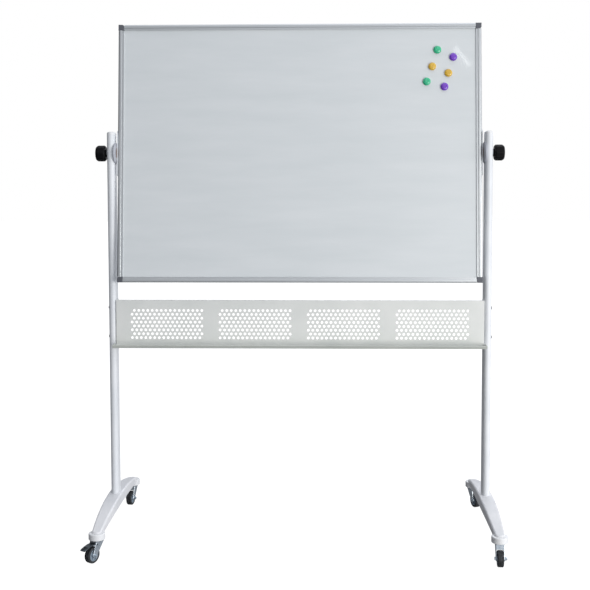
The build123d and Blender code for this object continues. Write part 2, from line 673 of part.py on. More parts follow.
BOLT_RADIUS = 3.0
BOLT_HEAD_RADIUS = 5.5
BOLT_HEAD_HEIGHT = 4.0
BOLT_LENGTH = POST_WIDTH + SHEET_METAL + 7.5
BOLT_SOCKET_RADIUS = 2.3
BOLT_SOCKET_DEPTH = 2.2
with BuildPart() as panel_bolt:
    with Locations((0, 0, -BOLT_LENGTH)):
        Cylinder(BOLT_RADIUS, BOLT_LENGTH, align=ON_BASE)
    with BuildSketch(Plane.XY):
        Circle(BOLT_HEAD_RADIUS)
    extrude(amount=BOLT_HEAD_HEIGHT)
    fillet(panel_bolt.edges().group_by(Axis.Z)[-1], radius=2.2)
    with BuildSketch(Plane.XY.offset(BOLT_HEAD_HEIGHT)):
        RegularPolygon(BOLT_SOCKET_RADIUS, 6)
    extrude(amount=-BOLT_SOCKET_DEPTH, mode=Mode.SUBTRACT)
with BuildPart() as panel_nut:
    with BuildSketch(Plane.XY):
        RegularPolygon(NUT_INRADIUS, 6, major_radius=False)
        Circle(BOLT_RADIUS + RUNNING_CLEARANCE, mode=Mode.SUBTRACT)
    extrude(amount=NUT_HEIGHT)


def at_panel_bolts(piece, distance):
    """The piece, drawn along Z, at each of the four bolts and pointing outwards."""
    return [
        piece.moved(Location((side * distance, 0, height), (0, side * 90, 0)))
        for _, side in SIDES
        for height in PANEL_BOLT_HEIGHTS
    ]


save_set(at_panel_bolts(panel_bolt.part, POST_OUTER), "panel_bolts")
nut_x = POST_INNER - SHEET_METAL - NUT_HEIGHT
save_set(at_panel_bolts(panel_nut.part, nut_x), "panel_nuts")

# ---- Casters ----

# Each piece is drawn with the swivel axis on Z and the wheel trailing towards -Y.
axle_place = Location((0, -CASTER_TRAIL, WHEEL_RADIUS), (0, 90, 0))

# A threaded stem, a bearing flange under the pad, and a kingpin with a riveted head.
with BuildPart() as stem:
    with BuildSketch(Plane.XZ):
        with BuildLine():
            Polyline(
                (0, RIVET_BOTTOM),
                (RIVET_RADIUS, RIVET_BOTTOM),
                (RIVET_RADIUS, RIVET_TOP),
                (KINGPIN_RADIUS, RIVET_TOP),
                (KINGPIN_RADIUS, FORK_TOP + BODY_GAP),
                (RACE_RADIUS, FORK_TOP + BODY_GAP),
                (RACE_RADIUS, PAD_BOTTOM),
                (STEM_RADIUS, PAD_BOTTOM),
                (STEM_RADIUS, STEM_TOP - 1),
                (STEM_RADIUS - 1, STEM_TOP),
                (0, STEM_TOP),
                close=True,
            )
        make_face()
    revolve(axis=Axis.Z)


def caster_fork(braked):
    """A pressed fork: a top plate, two legs and a hood that stops above the tyre."""
    plate_bottom = FORK_TOP - FORK_PLATE
    tyre_space = WHEEL_RADIUS + 2.3
    with BuildPart() as fork:
        with BuildSketch(Plane.YZ):
            with Locations((-CASTER_TRAIL, WHEEL_RADIUS)):
                Circle(8)
            with Locations((0, FORK_TOP - FORK_PLATE / 2)):
                Rectangle(2 * FORK_HALF_LENGTH, FORK_PLATE)
            make_hull()
        extrude(amount=FORK_HALF_WIDTH, both=True)
        fillet(fork.faces().filter_by(Axis.X).edges(), radius=1.6)
        with BuildSketch(Plane.YZ):
            with Locations((-CASTER_TRAIL, WHEEL_RADIUS)):
                Circle(tyre_space)
            with Locations((0, plate_bottom)):
                inner_length = 2 * (FORK_HALF_LENGTH - FORK_WALL)
                Rectangle(inner_length, plate_bottom, align=(Align.CENTER, Align.MAX))
            if braked:
                with Locations((0, plate_bottom)):
                    Rectangle(2 * FORK_HALF_LENGTH, plate_bottom, align=(Align.MAX, Align.MAX))
        extrude(amount=FORK_HALF_WIDTH - FORK_WALL, both=True, mode=Mode.SUBTRACT)
        with BuildSketch(Plane.XY.offset(FORK_TOP)):
            Circle(KINGPIN_RADIUS + RUNNING_CLEARANCE)
        extrude(amount=-FORK_PLATE, mode=Mode.SUBTRACT)
        with BuildSketch(Plane.YZ):
            with Locations((-CASTER_TRAIL, WHEEL_RADIUS)):
                Circle(AXLE_RADIUS + 0.1)
            if braked:
                with Locations((PEDAL_PIVOT_Y, PEDAL_PIVOT_Z)):
                    Circle(TRUNNION_RADIUS + RUNNING_CLEARANCE)
        extrude(amount=FORK_HALF_WIDTH, both=True, mode=Mode.SUBTRACT)
    return fork.part


GROOVE = 1.2  # width of the tread's grooves, and twice their depth
WEB_HALF_THICKNESS = 3.0
HUB_RIM = 2.5
HUB_BOSS_RADIUS = 7.0
AXLE_HEAD_HEIGHT = 4.0
AXLE_OVERHANG = 7.5  # how far the bolt stands out of the fork, through its nut

with BuildPart() as tyre:
    with BuildSketch(Plane.XZ) as tyre_section:
        with Locations(((HUB_RADIUS + WHEEL_RADIUS) / 2, 0)):
            Rectangle(WHEEL_RADIUS - HUB_RADIUS, TYRE_WIDTH)
        fillet(tyre_section.vertices().group_by(Axis.X)[-1], radius=3.5)
        with Locations((WHEEL_RADIUS, -TYRE_WIDTH / 6), (WHEEL_RADIUS, TYRE_WIDTH / 6)):
            Rectangle(GROOVE, GROOVE, mode=Mode.SUBTRACT)
    revolve(axis=Axis.Z)

with BuildPart() as hub:
    Cylinder(HUB_RADIUS, TYRE_WIDTH - 2)
    with BuildSketch(Plane.XY.offset(WEB_HALF_THICKNESS)):
        Circle(HUB_RADIUS - HUB_RIM)
    extrude(amount=TYRE_WIDTH, mode=Mode.SUBTRACT)
    with BuildSketch(Plane.XY.offset(-WEB_HALF_THICKNESS)):
        Circle(HUB_RADIUS - HUB_RIM)
    extrude(amount=-TYRE_WIDTH, mode=Mode.SUBTRACT)
    Cylinder(HUB_BOSS_RADIUS, HUB_LENGTH)
    Cylinder(AXLE_RADIUS + RUNNING_CLEARANCE, 2 * HUB_LENGTH, mode=Mode.SUBTRACT)

# The bolt's head bears on one leg of the fork and the nut on the other.
with BuildPart() as axle_bolt:
    with Locations((0, 0, -FORK_HALF_WIDTH)):
        Cylinder(AXLE_RADIUS, 2 * FORK_HALF_WIDTH + AXLE_OVERHANG, align=ON_BASE)
    with BuildSketch(Plane.XY.offset(-FORK_HALF_WIDTH)):
        RegularPolygon(NUT_INRADIUS, 6, major_radius=False)
    extrude(amount=-AXLE_HEAD_HEIGHT)
with BuildPart() as axle_nut:
    with BuildSketch(Plane.XY.offset(FORK_HALF_WIDTH)):
        RegularPolygon(NUT_INRADIUS, 6, major_radius=False)
        Circle(AXLE_RADIUS + RUNNING_CLEARANCE, mode=Mode.SUBTRACT)
    extrude(amount=NUT_HEIGHT)
axle_pieces = (axle_bolt.part, axle_nut.part)

# A pressed pedal on two trunnions, with a shoe over the tyre and a blade that widens outwards.
pedal_half_width = FORK_HALF_WIDTH - FORK_WALL - BODY_GAP
with BuildPart() as pedal:
    with BuildSketch(Plane.YZ):
        with BuildLine():
            Polyline(
                (PEDAL_PIVOT_Y, PEDAL_PIVOT_Z + 3.5),
                (PEDAL_BEND_Y, PEDAL_PIVOT_Z + 3),
                (PEDAL_TIP_Y, PEDAL_PIVOT_Z - 4.5),
                (PEDAL_TIP_Y, PEDAL_PIVOT_Z - 7),
                (PEDAL_BEND_Y, PEDAL_PIVOT_Z - 0.5),
                (PEDAL_SHOE_Y, PEDAL_PIVOT_Z - 3),
                (PEDAL_PIVOT_Y, PEDAL_PIVOT_Z - 3),
                close=True,
            )
        make_face()
        with Locations((PEDAL_PIVOT_Y, PEDAL_PIVOT_Z)):
            Circle(3.5)
    extrude(amount=pedal_half_width, both=True)
    fillet(pedal.edges().filter_by(Axis.X).group_by(Axis.Y)[0], radius=1)
    with BuildSketch(Plane.YZ):
        with Locations((PEDAL_PIVOT_Y, PEDAL_PIVOT_Z)):
            Circle(TRUNNION_RADIUS)
    extrude(amount=FORK_HALF_WIDTH - 0.2, both=True)

stems = []
for name, side_x, side_y, swivel, braked in CASTERS:
    place = Location((side_x * POST_X, side_y * CASTER_Y, 0), (0, 0, swivel))
    stems.append(stem.part.moved(place))
    save(caster_fork(braked).moved(place), f"{name}_caster_fork")
    save(tyre.part.moved(place * axle_place), f"{name}_tyre")
    save(hub.part.moved(place * axle_place), f"{name}_wheel_hub")
    save_set([piece.moved(place * axle_place) for piece in axle_pieces], f"{name}_axle_bolt")
    if braked:
        save(pedal.part.moved(place), f"{name}_brake_pedal")
save_set(stems, "caster_stems")

# ---- Magnets on the front writing sheet ----

with BuildPart() as magnet:
    with BuildSketch(Plane.XZ):
        with BuildLine():
            flat = (MAGNET_FLAT_RADIUS, MAGNET_HEIGHT)
            side_top = (MAGNET_RADIUS, MAGNET_SIDE_HEIGHT)
            Polyline(flat, (0, MAGNET_HEIGHT), (0, 0), (MAGNET_RADIUS, 0), side_top)
            RadiusArc(side_top, flat, -7.5)
        make_face()
    revolve(axis=Axis.Z)
for name, across, up in MAGNETS:
    magnet_place = Location((across, -PANEL_HALF_THICKNESS - BODY_GAP, up), (90, 0, 0))
    save_on_board(magnet.part.moved(magnet_place), f"magnet_{name}")
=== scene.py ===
import json
import math

import bmesh
import bpy
from mathutils import Matrix, Vector


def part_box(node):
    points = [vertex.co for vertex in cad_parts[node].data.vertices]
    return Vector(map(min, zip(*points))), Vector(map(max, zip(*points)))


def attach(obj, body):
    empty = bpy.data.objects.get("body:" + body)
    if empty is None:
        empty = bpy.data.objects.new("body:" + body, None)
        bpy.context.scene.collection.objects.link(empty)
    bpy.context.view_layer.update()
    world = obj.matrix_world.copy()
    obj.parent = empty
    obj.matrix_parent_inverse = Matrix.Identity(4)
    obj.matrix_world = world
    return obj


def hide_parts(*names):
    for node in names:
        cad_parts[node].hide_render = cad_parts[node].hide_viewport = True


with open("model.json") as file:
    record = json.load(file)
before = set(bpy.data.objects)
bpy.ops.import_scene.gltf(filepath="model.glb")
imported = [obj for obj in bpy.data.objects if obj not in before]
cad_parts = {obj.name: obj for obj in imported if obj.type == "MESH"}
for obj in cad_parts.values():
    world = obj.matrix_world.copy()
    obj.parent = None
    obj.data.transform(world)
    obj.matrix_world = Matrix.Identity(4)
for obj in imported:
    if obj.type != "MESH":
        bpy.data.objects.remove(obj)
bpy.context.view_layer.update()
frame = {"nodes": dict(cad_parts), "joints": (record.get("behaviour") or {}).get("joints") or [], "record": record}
nodes = frame["nodes"]
joints = {joint["name"]: joint for joint in frame["joints"]}
MM = 0.001
BOARD_LEAN = math.radians(5)  # at rest the board's top leans back by this much


# ---- Camera ----

CAMERA_PLACE = (0.0927, -3.1542, 1.1545)
CAMERA_TURN = -1.53  # degrees to the writer's right
CAMERA_TILT = -3.32  # degrees upwards
CAMERA_ROLL = -0.09
CAMERA_LENS = 58.42  # mm, on a 36 mm sensor
CAMERA_SHIFT = (-0.0113, -0.0871)

camera_data = bpy.data.cameras.new("camera")
camera_data.lens = CAMERA_LENS
camera_data.sensor_width = 36
camera_data.shift_x, camera_data.shift_y = CAMERA_SHIFT
camera = bpy.data.objects.new("camera", camera_data)
bpy.context.collection.objects.link(camera)
camera.matrix_world = (
    Matrix.Translation(CAMERA_PLACE)
    @ Matrix.Rotation(math.radians(-CAMERA_TURN), 4, "Z")
    @ Matrix.Rotation(math.radians(90 + CAMERA_TILT), 4, "X")
    @ Matrix.Rotation(math.radians(CAMERA_ROLL), 4, "Z")
)
bpy.context.scene.camera = camera
bpy.context.scene.view_settings.view_transform = "Standard"


# ---- Materials ----


def linear(hex_colour):
    """An sRGB colour such as "#E4E7E9" as the linear RGBA that a shader takes."""
    parts = [int(hex_colour[i : i + 2], 16) / 255 for i in (1, 3, 5)]
    parts = [c / 12.92 if c <= 0.04045 else ((c + 0.055) / 1.055) ** 2.4 for c in parts]
    return (*parts, 1.0)


def add_node(material, kind, settings=None, links=None):
    """Adds one node. Settings are its properties or its inputs; links join its inputs to outputs,
    each given as (node, output)."""
    node = material.node_tree.nodes.new(kind)
    for name, value in (settings or {}).items():
        if isinstance(name, str) and hasattr(node, name):
            setattr(node, name, value)
        else:
            node.inputs[name].default_value = value
    for name, (source, output) in (links or {}).items():
        material.node_tree.links.new(source.outputs[output], node.inputs[name])
    return node


def new_material(name, base, roughness, metallic=0.0, **sockets):
    """An empty material with its Principled shader and its Object coordinates."""
    material = bpy.data.materials.new(name)
    material.use_nodes = True
    shader = material.node_tree.nodes["Principled BSDF"]
    shader.inputs["Base Color"].default_value = linear(base)
    shader.inputs["Roughness"].default_value = roughness
    shader.inputs["Metallic"].default_value = metallic
    for socket, value in sockets.items():
        shader.inputs[socket.replace("_", " ")].default_value = value
    place = add_node(material, "ShaderNodeTexCoord")
    return material, shader, place


def join(material, source, output, target, socket):
    material.node_tree.links.new(source.outputs[output], target.inputs[socket])


def powder_coat(name, light, dark, roughness):
    """Baked polyester powder on steel: a hard satin skin with a fine orange peel, a little uneven
    in tone where the powder built up, and duller where hands and dust have been."""
    material, shader, place = new_material(name, light, roughness, IOR=1.5)
    cloud = add_node(
        material,
        "ShaderNodeTexNoise",
        {"Scale": 7.0, "Detail": 3.0, "Roughness": 0.5},  # drifts of powder about 140 mm across
        {"Vector": (place, "Object")},
    )
    tone = add_node(material, "ShaderNodeValToRGB", links={"Fac": (cloud, "Fac")})
    tone.color_ramp.elements[0].position = 0.35
    tone.color_ramp.elements[0].color = linear(dark)
    tone.color_ramp.elements[1].position = 0.65
    tone.color_ramp.elements[1].color = linear(light)
    join(material, tone, "Color", shader, "Base Color")
    dust = add_node(
        material,
        "ShaderNodeTexNoise",
        {"Scale": 55.0, "Detail": 4.0},  # smears about 18 mm across
        {"Vector": (place, "Object")},
    )
    dull = add_node(
        material,
        "ShaderNodeMapRange",
        {"To Min": roughness - 0.06, "To Max": roughness + 0.08},
        {"Value": (dust, "Fac")},
    )
    join(material, dull, "Result", shader, "Roughness")
    peel = add_node(
        material,
        "ShaderNodeTexNoise",
        {"Scale": 420.0, "Detail": 2.0},  # orange peel, 2.4 mm from crest to crest
        {"Vector": (place, "Object")},
    )
    bump = add_node(
        material,
        "ShaderNodeBump",
        {"Strength": 0.25, "Distance": 0.05 * MM},
        {"Height": (peel, "Fac")},
    )
    join(material, bump, "Normal", shader, "Normal")
    return material


def moulded(name, light, dark, roughness, grain_mm=0.9, bump_strength=0.3, **sockets):
    """Injection-moulded plastic: even colour with faint flow clouds, and a fine spark-eroded grain
    from the mould that breaks up its highlights."""
    material, shader, place = new_material(name, light, roughness, IOR=1.49, **sockets)
    flow = add_node(
        material,
        "ShaderNodeTexNoise",
        {"Scale": 60.0, "Detail": 2.0},  # flow clouds about 16 mm across
        {"Vector": (place, "Object")},
    )
    tone = add_node(
        material,
        "ShaderNodeMix",
        {"data_type": "RGBA", 6: linear(dark), 7: linear(light)},
        {0: (flow, "Fac")},
    )
    join(material, tone, 2, shader, "Base Color")
    grain = add_node(
        material,
        "ShaderNodeTexNoise",
        {"Scale": 1.0 / (grain_mm * MM), "Detail": 2.0},
        {"Vector": (place, "Object")},
    )
    dull = add_node(
        material,
        "ShaderNodeMapRange",
        {"To Min": roughness - 0.05, "To Max": roughness + 0.07},
        {"Value": (grain, "Fac")},
    )
    join(material, dull, "Result", shader, "Roughness")
    bump = add_node(
        material,
        "ShaderNodeBump",
        {"Strength": bump_strength, "Distance": 0.06 * MM},
        {"Height": (grain, "Fac")},
    )
    join(material, bump, "Normal", shader, "Normal")
    return material


def plated_steel(name, light, dark, roughness):
    """Pressed steel, bright zinc plated: a metal with a bluish bloom that is patchy and a little
    cloudy, and fine scratches from the tumbling drum."""
    material, shader, place = new_material(name, light, roughness, 1.0)
    bloom = add_node(
        material,
        "ShaderNodeTexNoise",
        {"Scale": 130.0, "Detail": 3.0},  # blooms about 8 mm across
        {"Vector": (place, "Object")},
    )
    tone = add_node(
        material,
        "ShaderNodeMix",
        {"data_type": "RGBA", 6: linear(dark), 7: linear(light)},
        {0: (bloom, "Fac")},
    )
    join(material, tone, 2, shader, "Base Color")
    dull = add_node(
        material,
        "ShaderNodeMapRange",
        {"To Min": roughness - 0.1, "To Max": roughness + 0.14},
        {"Value": (bloom, "Fac")},
    )
    join(material, dull, "Result", shader, "Roughness")
    scratch = add_node(
        material,
        "ShaderNodeTexNoise",
        {"Scale": 900.0, "Detail": 3.0},
        {"Vector": (place, "Object")},
    )
    bump = add_node(
        material,
        "ShaderNodeBump",
        {"Strength": 0.15, "Distance": 0.03 * MM},
        {"Height": (scratch, "Fac")},
    )
    join(material, bump, "Normal", shader, "Normal")
    return material


def extruded_aluminium(name, stretch):
    """Natural anodised extrusion: satin metal with die lines along its length. The lines of the
    real one are about 0.2 mm apart; here they are 1.5 mm apart, so that they show at all."""
    material, shader, place = new_material(name, "#D0D3D4", 0.36, 1.0)
    along = add_node(
        material, "ShaderNodeMapping", {"Scale": stretch}, {"Vector": (place, "Object")}
    )
    lines = add_node(
        material,
        "ShaderNodeTexNoise",
        {"Scale": 1.0, "Detail": 3.0, "Roughness": 0.6},
        {"Vector": (along, "Vector")},
    )
    tone = add_node(
        material,
        "ShaderNodeMix",
        {"data_type": "RGBA", 6: linear("#C4C8CA"), 7: linear("#DADCDD")},
        {0: (lines, "Fac")},
    )
    join(material, tone, 2, shader, "Base Color")
    dull = add_node(
        material, "ShaderNodeMapRange", {"To Min": 0.28, "To Max": 0.46}, {"Value": (lines, "Fac")}
    )
    join(material, dull, "Result", shader, "Roughness")
    bump = add_node(
        material,
        "ShaderNodeBump",
        {"Strength": 0.2, "Distance": 0.04 * MM},
        {"Height": (lines, "Fac")},
    )
    join(material, bump, "Normal", shader, "Normal")
    return material


LINES_PER_M = 1 / (1.5 * MM)
white_coat = powder_coat("white_powder_coated_steel", "#E6E8EB", "#DCDFE3", 0.42)
foot_coat = powder_coat("white_powder_coated_casting", "#E3E3E5", "#D8D9DC", 0.5)
panel_coat = powder_coat("pale_grey_powder_coated_sheet", "#E3E4E1", "#DADCD9", 0.45)
# The tray's coat is a darker grey than the panel's: painted shade standing in for the shade on its down-facing
# front lip.
tray_coat_with_painted_shade = powder_coat("grey_powder_coated_tray", "#CDD0CA", "#C1C5BF", 0.48)
# The clutch discs are white nylon coloured mid grey: painted shade for the narrow gap between post and board where
# they sit.
painted_shade_clutch_nylon = moulded("pale_grey_moulded_nylon", "#B8BAC2", "#A8ABB3", 0.5)
white_plastic = moulded("white_moulded_nylon", "#EAEAEB", "#DFE0E2", 0.45)
corner_plastic = moulded("dark_grey_moulded_abs", "#606269", "#52545B", 0.42)
knob_plastic = moulded(
    "black_moulded_nylon", "#0A0A0D", "#050507", 0.5, 0.8, 0.4, Specular_IOR_Level=0.15
)
hub_plastic = moulded("blue_grey_moulded_polypropylene", "#93A1AD", "#808E9A", 0.38)
green_plastic = moulded("green_gloss_abs", "#3CCB98", "#30B585", 0.16, 2.5, 0.1, Coat_Weight=0.8)
purple_plastic = moulded(
    "purple_gloss_abs", "#8142D2", "#6E36BA", 0.16, 2.5, 0.1, Coat_Weight=0.8
)
amber_plastic = moulded("amber_gloss_abs", "#E6BE45", "#D6AB36", 0.16, 2.5, 0.1, Coat_Weight=0.8)
zinc = plated_steel("bright_zinc_plated_steel", "#DCE3E9", "#A9B4BD", 0.24)
dark_steel = plated_steel("black_oxide_steel", "#4A4C4E", "#303234", 0.42)
pedal_steel = plated_steel("dark_grey_plated_pedal", "#6A7075", "#484D52", 0.4)
brass = plated_steel("turned_brass", "#C9A35A", "#A98542", 0.3)
level_aluminium = extruded_aluminium("anodised_aluminium_level", (3, LINES_PER_M, LINES_PER_M))
upright_aluminium = extruded_aluminium("anodised_aluminium_upright", (LINES_PER_M, LINES_PER_M, 3))


def enamelled_steel():
    """Enamelled writing steel: near white, glossy under a clear glaze, with a barely waved face and
    the faint grey drag marks that an eraser leaves across it."""
    material, shader, place = new_material("enamelled_writing_steel", "#D9DDDF", 0.3, IOR=1.5)
    shader.inputs["Coat Weight"].default_value = 0.5
    shader.inputs["Coat Roughness"].default_value = 0.04
    drag = add_node(
        material,
        "ShaderNodeMapping",
        {"Rotation": (0, math.radians(24), 0), "Scale": (3.0, 1.0, 19.0)},
        {"Vector": (place, "Object")},  # strokes 50 mm wide and a third of a metre long
    )
    strokes = add_node(
        material,
        "ShaderNodeTexNoise",
        {"Scale": 1.0, "Detail": 4.0, "Roughness": 0.55},
        {"Vector": (drag, "Vector")},
    )
    tone = add_node(material, "ShaderNodeValToRGB", links={"Fac": (strokes, "Fac")})
    tone.color_ramp.elements[0].position = 0.3
    tone.color_ramp.elements[0].color = linear("#D3D8DA")
    tone.color_ramp.elements[1].position = 0.7
    tone.color_ramp.elements[1].color = linear("#DADEE0")
    join(material, tone, "Color", shader, "Base Color")
    dull = add_node(
        material, "ShaderNodeMapRange", {"To Min": 0.25, "To Max": 0.36}, {"Value": (strokes, "Fac")}
    )
    join(material, dull, "Result", shader, "Roughness")
    wave = add_node(
        material,
        "ShaderNodeTexNoise",
        {"Scale": 90.0, "Detail": 2.0},  # the glaze's own wave, 11 mm long
        {"Vector": (place, "Object")},
    )
    bump = add_node(
        material,
        "ShaderNodeBump",
        {"Strength": 0.06, "Distance": 0.05 * MM},
        {"Height": (wave, "Fac")},
    )
    join(material, bump, "Normal", shader, "Normal")
    return material


def tyre_rubber():
    """Moulded black rubber: matt, dusty grey where it meets the floor, with a fine pebble."""
    material, shader, place = new_material("black_tyre_rubber", "#1C1D20", 0.72, IOR=1.5)
    dust = add_node(
        material,
        "ShaderNodeTexNoise",
        {"Scale": 160.0, "Detail": 5.0, "Roughness": 0.65},  # dust in patches about 6 mm across
        {"Vector": (place, "Object")},
    )
    tone = add_node(material, "ShaderNodeValToRGB", links={"Fac": (dust, "Fac")})
    tone.color_ramp.elements[0].position = 0.42
    tone.color_ramp.elements[0].color = linear("#1A1B1D")
    tone.color_ramp.elements[1].position = 0.72
    tone.color_ramp.elements[1].color = linear("#44474C")
    join(material, tone, "Color", shader, "Base Color")
    pebble = add_node(
        material,
        "ShaderNodeTexVoronoi",
        {"Scale": 1.0 / (0.8 * MM)},
        {"Vector": (place, "Object")},
    )
    bump = add_node(
        material,
        "ShaderNodeBump",
        {"Strength": 0.3, "Distance": 0.08 * MM},
        {"Height": (pebble, "Distance")},
    )
    join(material, bump, "Normal", shader, "Normal")
    return material


def pressed_board(name, light, dark, grain_mm):
    """Pressed fibre: short fibres lying every way, in two close tones, quite matt."""
    material, shader, place = new_material(name, light, 0.85, IOR=1.45)
    fibre = add_node(
        material,
        "ShaderNodeTexNoise",
        {"Scale": 1.0 / (grain_mm * MM), "Detail": 6.0, "Roughness": 0.7},
        {"Vector": (place, "Object")},
    )
    tone = add_node(
        material,
        "ShaderNodeMix",
        {"data_type": "RGBA", 6: linear(dark), 7: linear(light)},
        {0: (fibre, "Fac")},
    )
    join(material, tone, 2, shader, "Base Color")
    bump = add_node(
        material,
        "ShaderNodeBump",
        {"Strength": 0.5, "Distance": 0.15 * MM},
        {"Height": (fibre, "Fac")},
    )
    join(material, bump, "Normal", shader, "Normal")
    return material


enamel = enamelled_steel()
rubber = tyre_rubber()
hardboard = pressed_board("pressed_wood_core", "#C9B998", "#AE9C79", 3.0)
fibre = pressed_board("red_brown_vulcanised_fibre", "#6F4D3A", "#583A2A", 1.5)

SLOT_MATERIALS = {
    "white_powder_coat": white_coat,
    "white_foot_casting": foot_coat,
    "white_plastic": white_plastic,
    "grey_white_panel": panel_coat,
    "tray_grey": tray_coat_with_painted_shade,
    "dark_steel": dark_steel,
    "zinc_steel": zinc,
    "white_enamel": enamel,
    "core_board": hardboard,
    "grey_plastic": corner_plastic,
    "fibre_washer": fibre,
    "black_plastic": knob_plastic,
    "brass": brass,
    "black_rubber": rubber,
    "grey_hub_plastic": hub_plastic,
    "dark_pedal": pedal_steel,
    "green_magnet_plastic": green_plastic,
    "purple_magnet_plastic": purple_plastic,
    "amber_magnet_plastic": amber_plastic,
}
slot_of = {part["node"]: part["material_slot"] for part in frame["record"]["subparts"]}


def wear(piece, material):
    """Gives the whole piece one material."""
    piece.data.materials.clear()
    piece.data.materials.append(material)


for name, node in nodes.items():
    if slot_of[name] == "satin_aluminium":
        upright = name in ("left_profile", "right_profile")
        material = upright_aluminium if upright else level_aluminium
    # painted shade: the clutch discs take the greyed nylon instead of their own slot's material, for the shade
    # between post and board
    elif name.endswith("clutch_disc"):
        material = painted_shade_clutch_nylon
    else:
        material = SLOT_MATERIALS[slot_of[name]]
    for index in range(len(node.material_slots)):
        node.material_slots[index].material = material
    if not node.material_slots:
        wear(node, material)


# ---- Modelling ----


def start(name, sides, radius, height):
    """A round disc face at this height on the Z axis, ready to be extruded upwards."""
    bpy.ops.object.select_all(action="DESELECT")
    bpy.ops.mesh.primitive_circle_add(
        vertices=sides, radius=radius, fill_type="NGON", location=(0, 0, height)
    )
    piece = bpy.context.object
    piece.name = name
    bpy.ops.object.transform_apply(location=True, rotation=True, scale=True)
    bpy.ops.object.mode_set(mode="EDIT")
    bpy.ops.mesh.select_mode(type="FACE")
    bpy.ops.mesh.select_all(action="SELECT")
    return piece


def turned(name, sides, rings):
    """A turned solid: a disc at the first (radius, height), drawn on through the others."""
    piece = start(name, sides, *rings[0])
    for (radius, height), (next_radius, next_height) in zip(rings, rings[1:]):
        bpy.ops.mesh.extrude_region_move(
            TRANSFORM_OT_translate={"value": (0, 0, next_height - height)}
        )
        share = next_radius / radius
        bpy.ops.transform.resize(value=(share, share, 1), center_override=(0, 0, next_height))
    bpy.ops.mesh.select_all(action="SELECT")
    bpy.ops.mesh.normals_make_consistent(inside=False)
    bpy.ops.object.mode_set(mode="OBJECT")
    return piece


def choose(piece, kind, wanted):
    """In edit mode, selects the faces, edges or vertices that pass the test, and no others."""
    bpy.ops.mesh.select_all(action="DESELECT")
    bpy.ops.mesh.select_mode(type={"faces": "FACE", "edges": "EDGE", "verts": "VERT"}[kind])
    mesh = bmesh.from_edit_mesh(piece.data)
    for element in getattr(mesh, kind):
        element.select_set(bool(wanted(element)))
    mesh.select_flush_mode()
    bmesh.update_edit_mesh(piece.data)


def open_for_edit(piece):
    bpy.ops.object.select_all(action="DESELECT")
    piece.select_set(True)
    bpy.context.view_layer.objects.active = piece
    bpy.ops.object.mode_set(mode="EDIT")


def apply_modifier(piece, kind, **settings):
    bpy.ops.object.select_all(action="DESELECT")
    piece.select_set(True)
    bpy.context.view_layer.objects.active = piece
    modifier = piece.modifiers.new(kind.lower(), kind)
    for name, value in settings.items():
        setattr(modifier, name, value)
    bpy.ops.object.modifier_apply(modifier=modifier.name)


def smooth(piece, degrees=35):
    bpy.ops.object.select_all(action="DESELECT")
    piece.select_set(True)
    bpy.context.view_layer.objects.active = piece
    bpy.ops.object.shade_smooth_by_angle(angle=math.radians(degrees))


def join_pieces(name, pieces):
    bpy.ops.object.select_all(action="DESELECT")
    for piece in pieces:
        piece.select_set(True)
    bpy.context.view_layer.objects.active = pieces[0]
    bpy.ops.object.join()
    pieces[0].name = name
    return pieces[0]


def placed_copy(model, name, place, body, material, replaced):
    """A copy of a modelled piece, with its own mesh, put on a body in place of a CAD node."""
    copy = model.copy()
    copy.data = model.data.copy()
    copy.name = name
    bpy.context.collection.objects.link(copy)
    copy.data.transform(place)
    wear(copy, material)
    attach(copy, body)
    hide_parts(replaced)
    return copy


def discard(model):
    bpy.data.objects.remove(model)


def facing(point, direction, spin=0.0):
    """A place at the point whose Z axis runs in the direction."""
    turn = Vector((0, 0, 1)).rotation_difference(Vector(direction)).to_matrix().to_4x4()
    return Matrix.Translation(point) @ turn @ Matrix.Rotation(spin, 4, "Z")


# Clamping knobs: eight shallow lobes round a drum, a boss, a domed face and a press-in centre plug.
knob_low, knob_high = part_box("right_knob")
knob_length = knob_high.x - knob_low.x
knob_radius = (knob_high.z - knob_low.z) / 2
LOBES = 8
SUBDIVISION_ALLOWANCE = 1.12  # the subdivision draws the drum's corners in
ridge = knob_radius * SUBDIVISION_ALLOWANCE
hollow = 0.84  # of the ridge's radius, before the subdivision
drum = turned(
    "knob_model",
    2 * LOBES,
    [
        (0.70 * ridge, 4.2 * MM),
        (0.80 * ridge, 4.4 * MM),
        (0.84 * ridge, 4.9 * MM),
        (0.99 * ridge, 8.6 * MM),
        (ridge, 9.6 * MM),
        (ridge, 20.0 * MM),
        (ridge, 29.6 * MM),
        (0.985 * ridge, 30.8 * MM),
        (0.80 * ridge, knob_length - 2.2 * MM),
        (0.74 * ridge, knob_length - 1.8 * MM),
        (0.60 * ridge, knob_length - 1.2 * MM),
        (0.36 * ridge, knob_length - 0.3 * MM),
    ],
)
open_for_edit(drum)
step = math.pi / LOBES
choose(
    drum,
    "verts",
    lambda v: 7 * MM < v.co.z < 33 * MM and round(math.atan2(v.co.y, v.co.x) / step) % 2,
)
bpy.ops.transform.resize(value=(hollow, hollow, 1), center_override=(0, 0, 0))
bpy.ops.object.mode_set(mode="OBJECT")
apply_modifier(drum, "SUBSURF", levels=3, render_levels=3)
boss = turned(
    "knob_boss",
    48,
    [
        (12 * MM, 0),
        (12 * MM, 0.4 * MM),
        (12 * MM, 4.4 * MM),
        (13.2 * MM, 6.5 * MM),
        (8 * MM, 7 * MM),
    ],
)
plug = turned(
    "knob_plug",
    48,
    [
        (8.6 * MM, knob_length - 3 * MM),
        (8.6 * MM, knob_length - 1.1 * MM),
        (7.9 * MM, knob_length - 0.4 * MM),
        (7.2 * MM, knob_length - 0.15 * MM),
        (4.0 * MM, knob_length - 0.02 * MM),
    ],
)
knob_model = join_pieces("knob_model", [drum, boss, plug])
smooth(knob_model, 40)
